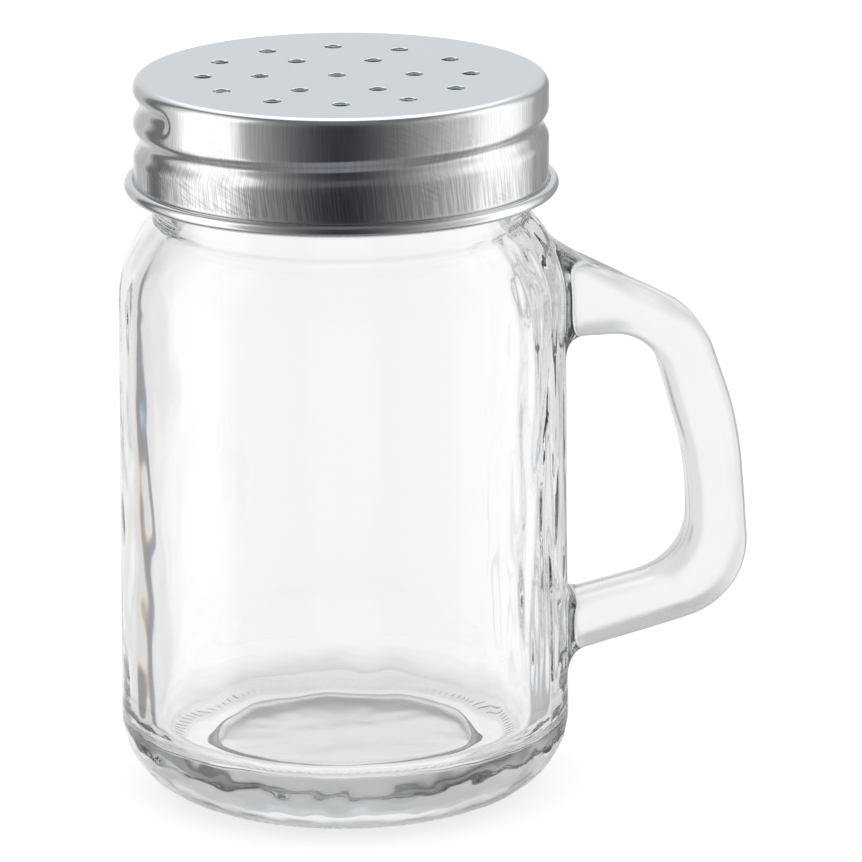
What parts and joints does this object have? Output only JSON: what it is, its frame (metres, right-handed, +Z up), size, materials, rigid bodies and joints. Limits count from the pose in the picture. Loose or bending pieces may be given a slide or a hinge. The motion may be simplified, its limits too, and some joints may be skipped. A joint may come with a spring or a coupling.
{
  "type": "salt shaker",
  "caption": "Small clear glass jar with a side handle and a pierced stainless screw cap, for shaking salt at the table.",
  "frame": {"origin": "middle of the base on the jar's axis, at the height of the ring that the jar stands on", "axes": "+Z up the jar's axis, +X towards the handle"},
  "size_m": [0.0753, 0.0538, 0.087],
  "materials": {
    "clear_glass": "clear pressed soda-lime glass with a fire-polished surface, slightly wavy inside",
    "cap_steel": "bright stainless sheet, drawn, with faint vertical draw lines on the skirt",
    "seal_rubber": "matte translucent white food-grade silicone"
  },
  "bodies": {
    "jar": {"glass_jar": "clear_glass", "handle": "clear_glass"},
    "seal": {"sealing_ring": "seal_rubber"},
    "cap": {"screw_cap": "cap_steel"}
  },
  "joints": [
    {"name": "cap_lift", "type": "slide", "parent": "jar", "child": "seal", "axis": [0, 0, 1], "range_m": [0, 0.01376]},
    {"name": "cap_turn", "type": "hinge", "parent": "seal", "child": "cap", "pos_m": [0, 0, 0.08], "axis": [0, 0, 1], "range_deg": [0, 1170]}
  ],
  "couplings": [
    {"joint": "cap_lift", "follows": "cap_turn", "m_per_rad": 0.00067375}
  ]
}
